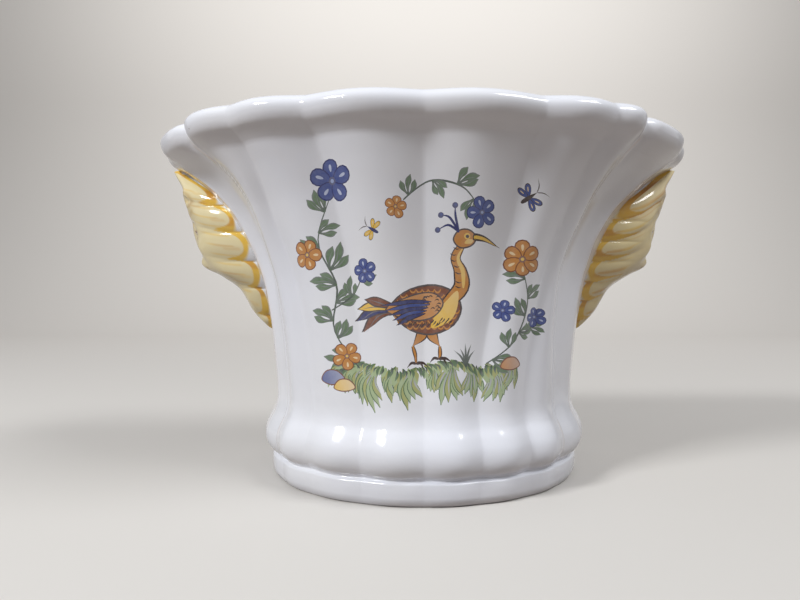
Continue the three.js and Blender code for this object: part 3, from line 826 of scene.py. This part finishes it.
def painted_patch(skin, window, sizes, strokes):
    """Triangles of the front with every stroke's edge in them: points, normals, faces and colours."""
    (low, high), (first, last) = window
    block = skin[low:high + 1, first:last + 1]
    left, right = (turn_stops(hand, block[:, 0, 2]) for hand in (-1, 1))
    half = (last - first) // 2
    turns = np.concatenate([-left[:, half:0:-1], right[:, :half + 1]], axis=1)
    up = block[..., 2]
    across = along(SIDE_FLARE, up) * np.sin(np.radians(turns))
    flat = np.stack([across.ravel(), up.ravel()], axis=-1)
    index = np.arange(up.size).reshape(up.shape)
    border = [*index[0], *index[1:, -1], *index[-1, -2::-1], *index[-2:0:-1, 0]]
    corners = [Vector(p) for p in flat]
    edges = [(int(i), int(j)) for i, j in zip(border, border[1:] + border[:1])]
    for outline, *_ in strokes:
        ring = list(range(len(corners), len(corners) + len(outline)))
        edges += zip(ring, ring[1:] + ring[:1])
        corners += [Vector(p) for p in outline]
    spots, _, triangles, origins, _, _ = delaunay_2d_cdt(corners, edges, [], 1, NEAREST, True)
    spots = np.array([tuple(spot) for spot in spots])
    points = front_surface(spots[:, 0], spots[:, 1], sizes)
    # Where the patch meets the grid, it takes over the grid's own points
    grid_points = block[..., :3].reshape(-1, 3)
    for spot, sources in enumerate(origins):
        known = [source for source in sources if source < len(grid_points)]
        if known:
            points[spot] = grid_points[known[0]]
    triangles = np.array(triangles)
    triangles = triangles[winding(spots[triangles].mean(axis=1), flat[border]) != 0]
    return points, front_normals(spots, sizes), triangles, stroke_colours(spots, triangles, strokes)


# Finishes


class Nodes:
    """A short hand for a material's nodes."""

    def __init__(self, name):
        self.material = bpy.data.materials.new(name)
        self.material.use_nodes = True
        self.tree = self.material.node_tree
        self.shader = self.tree.nodes["Principled BSDF"]
        self.coordinates = self.add("ShaderNodeTexCoord").outputs["Object"]

    def add(self, kind, **inputs):
        node = self.tree.nodes.new(kind)
        for key, value in inputs.items():
            self.feed(node, key, value)
        return node

    def put(self, socket, value):
        if isinstance(value, bpy.types.NodeSocket):
            self.tree.links.new(value, socket)
        else:
            socket.default_value = value

    def feed(self, node, key, value):
        self.put(node.inputs[key], value)

    def noise(self, scale, detail=2.0, roughness=0.5):
        grain = {"Scale": scale, "Detail": detail, "Roughness": roughness}
        return self.add("ShaderNodeTexNoise", Vector=self.coordinates, **grain).outputs["Fac"]

    def ramp(self, value, low, high, start=0.0, end=1.0):
        limits = {"From Min": low, "From Max": high, "To Min": start, "To Max": end}
        return self.add("ShaderNodeMapRange", Value=value, **limits).outputs["Result"]

    def blend(self, share, first, second):
        node = self.tree.nodes.new("ShaderNodeMix")
        node.data_type = "RGBA"
        self.put(node.inputs[0], share)
        for socket, value in ((node.inputs[6], first), (node.inputs[7], second)):
            self.put(socket, value if isinstance(value, bpy.types.NodeSocket) else (*value, 1))
        return node.outputs[2]

    def math(self, operation, first, second):
        node = self.tree.nodes.new("ShaderNodeMath")
        node.operation = operation
        for socket, value in zip(node.inputs, (first, second)):
            self.put(socket, value)
        return node.outputs[0]

    def attribute(self, name):
        node = self.tree.nodes.new("ShaderNodeAttribute")
        node.attribute_name = name
        return node


def tinted(base, tint):
    return tuple(part * share for part, share in zip(base, tint))


def glaze(name, ground, thin_colour, paint=None):
    """A glossy tin glaze: slow changes of tone, pinholes, thin warm edges and a soft orange peel."""
    n = Nodes(name)
    base = n.blend(n.ramp(n.noise(TONE, 3), 0.35, 0.7), ground, tinted(ground, COOL))
    base = n.blend(n.ramp(n.noise(WARMTH, 4, 0.6), 0.55, 0.8, 0, 0.25), base, tinted(ground, WARM))
    thin = n.attribute("thin_glaze").outputs["Fac"]
    breakup = n.ramp(n.noise(BREAKUP, 3), 0.3, 0.65, 0.25, 1)
    base = n.blend(n.math("MULTIPLY", n.math("MULTIPLY", thin, breakup), 0.75), base, thin_colour)
    if paint:
        colour = n.attribute(paint)
        wash = n.ramp(n.noise(WASH, 3, 0.6), 0.25, 0.6, 0.93, 1)
        base = n.blend(n.math("MULTIPLY", colour.outputs["Alpha"], wash), base, colour.outputs["Color"])
    cells = n.add("ShaderNodeTexVoronoi", Vector=n.coordinates, Scale=HOLES)
    hole = n.math("LESS_THAN", cells.outputs["Distance"], 0.022)
    chosen = n.add("ShaderNodeSeparateColor", Color=cells.outputs["Color"]).outputs["Red"]
    pinhole = n.math("MULTIPLY", hole, n.math("GREATER_THAN", chosen, 0.72))
    base = n.blend(n.math("MULTIPLY", pinhole, 0.75), base, PINHOLE)
    n.feed(n.shader, "Base Color", base)
    n.feed(n.shader, "Roughness", n.ramp(n.noise(MATT, 3), 0.3, 0.7, *GLAZE_ROUGHNESS))
    n.shader.inputs["IOR"].default_value = 1.52
    n.shader.inputs["Coat Weight"].default_value = 0.1
    n.shader.inputs["Coat Roughness"].default_value = 0.05
    slow = n.add("ShaderNodeBump", Height=n.noise(WAVES), Strength=0.25, Distance=0.0012)
    peel = n.add("ShaderNodeBump", Height=n.noise(PEEL), Strength=0.12, Distance=0.00012)
    n.feed(peel, "Normal", slow.outputs["Normal"])
    n.feed(n.shader, "Normal", peel.outputs["Normal"])
    return n.material


def seen(tree):
    """1 for the rays that show a background, straight or in a reflection, and 0 for those that light."""
    rays = tree.nodes.new("ShaderNodeLightPath").outputs
    total = rays["Is Camera Ray"]
    for name in ("Is Glossy Ray", "Is Transmission Ray"):
        node = tree.nodes.new("ShaderNodeMath")
        node.operation = "MAXIMUM"
        tree.links.new(total, node.inputs[0])
        tree.links.new(rays[name], node.inputs[1])
        total = node.outputs[0]
    return total


def settings():
    return bpy.context.scene.flower_holder_sizes, bpy.context.scene.flower_holder_colours


# The masks


def panel_x(y, z):
    a, b = along(SIDE_FLARE, z), along(FRONT_FLARE, z)
    return np.where(y < 0, a * np.sqrt(np.clip(1 - (y / b) ** 2, 0, 1)), a)


def curl_phase(side, z, hand):
    """Whole numbers where one curl of the mane meets the next."""
    return along(CURLS, z + CURL_SLANT[hand] * side)


def curl_at(side, z, hand):
    return np.abs(np.sin(math.pi * curl_phase(side, z, hand)))


def mask_point(turn, z, hand):
    """A point of a mask, drawn on the right: turn runs from 0 at its front edge to 180 degrees."""
    inward = np.clip(np.sin(np.radians(turn)), 0, 1)
    cosine = np.cos(np.radians(turn))
    full = along(MASK_WIDTH, z) * MASK_BREADTH[hand]
    scallop = CURL_SCALLOP * (np.sqrt(curl_at(full, z, hand)) - 1) * np.abs(cosine) ** 6 * smooth(full / 8)
    y = MASK_Y - np.sign(cosine) * (np.abs(cosine) ** 0.92 * np.maximum(0.6, full) + scallop)
    side = np.abs(y - MASK_Y)
    stand = along(MASK_STAND, z) * inward**0.8
    on_face = smooth((inward - 0.25) / 0.35)
    for rise, across, height, spread_across, spread_up in FACE_FORMS:
        stand = stand + on_face * rise * bell(side - across, spread_across) * bell(z - height, spread_up)
    mane = smooth(inward / 0.3) * (1 - smooth((inward - 0.55) / 0.35))
    stand = stand + CURL_RISE * (curl_at(side, z, hand) - 0.5) * mane
    return panel_x(y, z) + stand, y


def mask_grid(hand):
    even = np.linspace(0, 1, MASK_TURNS)
    turns = mix(180 * even, 90 - 90 * np.cos(math.pi * even), 0.8)
    turn, z = np.meshgrid(turns, np.linspace(*MASK_LEVELS))
    x, y = mask_point(turn, z, hand)
    return turn, z, x, y


# The cover


def rounded_edge(bottom, top, radius, steps=5):
    """Inset and height up the edge of a slab whose edges are rounded."""
    turns = [math.pi / 2 * k / steps for k in range(steps + 1)]
    lower = [(radius * (1 - math.sin(turn)), bottom + radius * (1 - math.cos(turn))) for turn in turns]
    return lower + [(inset, bottom + top - z) for inset, z in reversed(lower)]


def cover_rings(inset):
    """The outline of the cover and of its stem holes, drawn in by an inset."""
    a, b = (along(flare, LEDGE_Z) - WALL - COVER_CLEARANCE - inset for flare in (SIDE_FLARE, FRONT_FLARE))
    back = BACK_Y - WALL - COVER_CLEARANCE - inset

    def arc(x, y, across, up, start, end, count):
        turns = np.linspace(start, end, count)
        return [(x + across * math.cos(turn), y + up * math.sin(turn)) for turn in turns]

    outline = arc(0, 0, a, b, math.pi, 2 * math.pi, 120)
    for centre, start in ((a - CORNER_RADIUS, 0), (CORNER_RADIUS - a, math.pi / 2)):
        corner = (centre, back - CORNER_RADIUS, CORNER_RADIUS, CORNER_RADIUS)
        outline += arc(*corner, start, start + math.pi / 2, 9)
    radius = STEM_HOLE_RADIUS + inset
    return [outline] + [arc(x, y, radius, radius, 0, 2 * math.pi, 49)[:-1] for x, y in STEM_HOLES]


# The operators


class FLOWER_HOLDER_OT_vessel(Operator):
    """Model the whole fired vessel: foot, fluted wall, rolled rim, back, inside and ledge"""

    bl_idname = "flower_holder.vessel"
    bl_label = "Vessel"

    def execute(self, context):
        sizes, colours = settings()
        skin = skin_rows(sizes)
        painting = Painting(colours)
        painting.design()
        middle = skin.shape[1] // 2
        low, high = (int(np.argmax(skin[:, middle, 2] > height)) for height in PAINTED)
        window = ((low, high), (middle - PAINTED_COLUMNS, middle + PAINTED_COLUMNS))
        patch = painted_patch(skin, window, sizes, painting.strokes)
        values = np.concatenate([skin[..., 3:], np.zeros((*skin.shape[:2], 4))], axis=-1)
        vessel = sheet_from("vessel", skin, values, (window, *patch))
        finish = glaze("white_tin_glaze", colours.glaze, colours.thin_glaze, "brushwork")
        vessel.data.materials.append(finish)
        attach(vessel, "vessel")
        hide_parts("front_wall", "back_wall", "floor_slab", "cover_ledge")
        return {"FINISHED"}


def mane_paint(turn, z, x, y, hand, colours):
    """Brushed curls of a mask: an arc round each, bare white outside it, and a few brown touches."""
    side = np.abs(y - MASK_Y)
    phase = curl_phase(side, z, hand)
    number = np.floor(phase)
    share = phase - number
    proud = x - panel_x(y, z)
    wobble = 0.35 * np.sin(z / 2.7 + number * 2.1) + 0.25 * np.sin(turn / 6 + number)
    hook = CURL_HOOK[hand] + 1.5 * np.sin(number * 2.4 + (turn > 90))
    hook = hook * np.clip(along(MASK_STAND, z) / 22, 0.25, 1)
    arc = 1.7 + wobble + hook * ((1 - share) ** 5 + CURL_ROUND[hand] * share**9)
    slope = hook * (5 * (1 - share) ** 4 + 9 * CURL_ROUND[hand] * share**8)
    steep = slope * np.gradient(phase, axis=0) / np.gradient(z, axis=0)
    away = (proud - arc) / np.sqrt(1 + steep**2)
    width = MASK_STROKE[hand] + 0.35 * np.sin(phase * 5 + 1)
    line = (1 - smooth((np.abs(away) - width) / 0.5)) * (1 - smooth((proud - hook - 2) / 2.5))
    bare = smooth((-away - width - 0.2) / 0.5)
    hairs = bell(share - 0.42, 0.08) * smooth((proud - 4) / 2) * (1 - smooth((proud - hook - 2) / 3))
    forehead = 0.55 * bell(z - 127, 6) * bell(side - 4, 7) + 0.3 * bell(z - 138, 6) * bell(side, 8)
    ink = np.maximum(np.maximum(line, MASK_HAIRS[hand] * hairs), forehead)
    ink = np.clip(ink, MASK_WASH[hand], 1)
    paints = (colours.straw, colours.ochre, colours.rust, colours.glaze)
    straw, ochre, rust, white = (np.array(tuple(paint)) for paint in paints)
    deep = 0.6 * smooth((np.sin(phase * 6.3 + 2.2) * np.sin(turn / 11 + number) - 0.05) / 0.6)
    deep = deep + MASK_CROWN[hand] * bell(z - 136, 9)
    colour = mix(straw, ochre, np.clip(deep, 0, 1)[..., None])
    colour = mix(colour, rust, 0.5 * (MASK_CROWN[hand] * bell(z - 139, 4))[..., None])
    locks = bell(np.abs((phase * 3) % 1 - 0.5), 0.13) * smooth((proud - 6) / 3)
    locks = locks * (1 - smooth((proud - 17) / 6))
    ink = np.maximum(ink, 0.45 * locks * smooth((side - 7) / 5))
    marks = face_marks(side, z)
    colour = mix(colour, rust, marks[..., None])
    ink = np.maximum(ink, marks * 0.85)
    colour = mix(colour, white, bare[..., None])
    return np.concatenate([colour, np.maximum(ink * (1 - bare), bare)[..., None]], axis=-1)


def face_marks(side, z):
    """How brown the touches of the face are: lids, eyes, mouth, nose, whiskers, ears and brow."""
    lid = bell((z - 118 - 0.3 * (side - 8) + 0.12 * (side - 10) ** 2) / 0.9, 1)
    marks = lid * smooth((5 - np.abs(side - 10)) / 1.5)
    marks = marks + bell(np.hypot(side - 9.5, (z - 117) * 0.8), 1.6)
    marks = marks + bell(z - 98.8 + 0.06 * side**2, 0.9) * smooth((7.5 - side) / 1.5)
    marks = marks + bell(side, 0.8) * smooth((104 - z) / 1.5) * smooth((z - 98) / 1.5)
    marks = marks + bell(np.hypot(side / 4.6, (z - 106.5 + 0.3 * side) / 2.3) ** 2, 1)
    for across, height in ((6.5, 102.5), (8.5, 101), (7.2, 99.6)):
        marks = marks + bell(np.hypot(side - across, z - height), 0.55)
    marks = marks + 0.55 * bell(np.hypot(side - 14.2, z - 134.7) - 3.7, 0.8)
    marks = marks + 0.4 * bell(np.hypot(side - 14, z - 134.4), 1.6)
    brow = bell((z - 125 - 0.35 * (side - 6)) / 1.4, 1) * smooth((9 - np.abs(side - 10)) / 3)
    return np.clip(marks + 0.5 * brow, 0, 1)


class FLOWER_HOLDER_OT_masks(Operator):
    """Model the two lion masks on the side panels"""

    bl_idname = "flower_holder.masks"
    bl_label = "Lion masks"

    def execute(self, context):
        _, colours = settings()
        finish = glaze("mask_yellow_glaze", colours.mask_glaze, colours.straw, "painting")
        for hand, name in ((1, "lion_mask_right"), (-1, "lion_mask_left")):
            turn, z, x, y = mask_grid(hand)
            paint = mane_paint(turn, z, x, y, hand, colours)
            sunk = np.stack([hand * (panel_x(y, z) - MASK_SUNK), y, z], axis=-1)
            face = np.stack([hand * x, y, z], axis=-1)
            face[:, 0] = sunk[:, 0]
            face[:, -1] = sunk[:, -1]
            # The hidden back needs only every fourth column
            closed = np.concatenate([face, sunk[:, ::-1][:, 4::4]], axis=1)
            for row in (0, -1):
                closed[row] = closed[row].mean(axis=0)
            values = np.zeros((*closed.shape[:2], 5))
            values[:, :turn.shape[1], 1:] = paint
            piece = sheet_from(name + "_modelled", closed, values)
            piece.data.materials.append(finish)
            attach(piece, "vessel")
            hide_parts(name)
        return {"FINISHED"}


class FLOWER_HOLDER_OT_cover(Operator):
    """Model the loose pierced cover"""

    bl_idname = "flower_holder.cover"
    bl_label = "Pierced cover"

    def execute(self, context):
        _, colours = settings()
        bm = bmesh.new()
        thin = bm.verts.layers.float.new("thin_glaze")
        walls = [[] for _ in range(1 + len(STEM_HOLES))]
        for inset, z in rounded_edge(COVER_Z, COVER_Z + COVER_THICKNESS, COVER_ROUND):
            for wall, ring in zip(walls, cover_rings(inset)):
                verts = [bm.verts.new(place((x, y, z))) for x, y in ring]
                for vert in verts:
                    vert[thin] = 0.5 * (inset > 0) * (inset < COVER_ROUND)
                wall.append([bm.edges.new(pair) for pair in zip(verts, verts[1:] + verts[:1])])
        for wall in walls:
            for lower, upper in zip(wall, wall[1:]):
                bmesh.ops.bridge_loops(bm, edges=lower + upper)
        soften(bm)
        for end in (0, -1):
            edges = [edge for wall in walls for edge in wall[end]]
            bmesh.ops.triangle_fill(bm, use_beauty=True, edges=edges)
        bmesh.ops.recalc_face_normals(bm, faces=bm.faces[:])
        cover = piece_from(bm, "pierced_cover")
        cover.data.materials.append(glaze("cover_tin_glaze", colours.glaze, colours.thin_glaze))
        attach(cover, "cover")
        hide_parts("flower_cover")
        return {"FINISHED"}


class FLOWER_HOLDER_OT_stage(Operator):
    """Set the pale floor, the soft lights and the camera"""

    bl_idname = "flower_holder.stage"
    bl_label = "Stage"

    def execute(self, context):
        _, colours = settings()
        scene = context.scene
        bm = bmesh.new()
        bmesh.ops.create_grid(bm, x_segments=24, y_segments=60, size=1)
        quarter = FLOOR_BEND * math.pi / 2
        for vert in bm.verts:
            run = FLOOR_START + (vert.co.y + 1) * FLOOR_REACH - FLOOR_FLAT
            turn = np.clip(run, 0, quarter) / FLOOR_BEND
            y = FLOOR_FLAT + min(run, 0) + FLOOR_BEND * math.sin(turn)
            z = FLOOR_BEND * (1 - math.cos(turn)) + max(run - quarter, 0)
            vert.co = (vert.co.x * FLOOR_HALF_WIDTH, y, z)
        soften(bm)
        floor = piece_from(bm, "floor")
        n = Nodes("plain_floor")
        n.feed(n.shader, "Base Color", n.blend(seen(n.tree), FLOOR_BOUNCE, colours.floor))
        n.shader.inputs["Roughness"].default_value = 0.7
        floor.data.materials.append(n.material)
        for name, spot, size, power, tone, target in LAMPS:
            data = bpy.data.lights.new(name, "AREA")
            data.shape = "RECTANGLE"
            data.size, data.size_y = size
            data.energy = power
            data.color = tone
            light = bpy.data.objects.new(name, data)
            light.location = spot
            aim = Vector(target) - Vector(spot)
            light.rotation_euler = aim.to_track_quat("-Z", "Y").to_euler()
            scene.collection.objects.link(light)
        world = bpy.data.worlds.new("studio")
        world.use_nodes = True
        tree = world.node_tree
        background = tree.nodes["Background"].inputs
        background["Color"].default_value = WORLD_COLOUR
        strength = tree.nodes.new("ShaderNodeMapRange")
        strength.inputs["To Min"].default_value, strength.inputs["To Max"].default_value = WORLD_STRENGTH
        tree.links.new(seen(tree), strength.inputs["Value"])
        tree.links.new(strength.outputs["Result"], background["Strength"])
        scene.world = world
        scene.view_settings.view_transform = "Standard"

        camera = bpy.data.objects.new("camera", bpy.data.cameras.new("camera"))
        camera.data.sensor_width = 36
        camera.data.lens = LENS
        camera.data.shift_x = LENS_SHIFT
        camera.location = place(EYE)
        camera.rotation_euler = (math.pi / 2, 0, 0)
        scene.collection.objects.link(camera)
        scene.camera = camera
        return {"FINISHED"}


class FLOWER_HOLDER_PT_panel(Panel):
    """Lists the pieces of the flower holder"""

    bl_label = "Flower Holder"
    bl_idname = "FLOWER_HOLDER_PT_panel"
    bl_space_type = "VIEW_3D"
    bl_region_type = "UI"
    bl_category = "Flower Holder"

    def draw(self, context):
        for operator in OPERATORS:
            self.layout.operator(operator.bl_idname)


OPERATORS = (
    FLOWER_HOLDER_OT_vessel, FLOWER_HOLDER_OT_masks, FLOWER_HOLDER_OT_cover, FLOWER_HOLDER_OT_stage,
)
CLASSES = (HolderSizes, HolderColours, *OPERATORS, FLOWER_HOLDER_PT_panel)


def register():
    for cls in CLASSES:
        bpy.utils.register_class(cls)
    bpy.types.Scene.flower_holder_sizes = PointerProperty(type=HolderSizes)
    bpy.types.Scene.flower_holder_colours = PointerProperty(type=HolderColours)


def unregister():
    del bpy.types.Scene.flower_holder_colours
    del bpy.types.Scene.flower_holder_sizes
    for cls in reversed(CLASSES):
        bpy.utils.unregister_class(cls)


def main():
    register()
    bpy.ops.flower_holder.vessel()
    bpy.ops.flower_holder.masks()
    bpy.ops.flower_holder.cover()
    bpy.ops.flower_holder.stage()


if __name__ == "__main__":
    main()
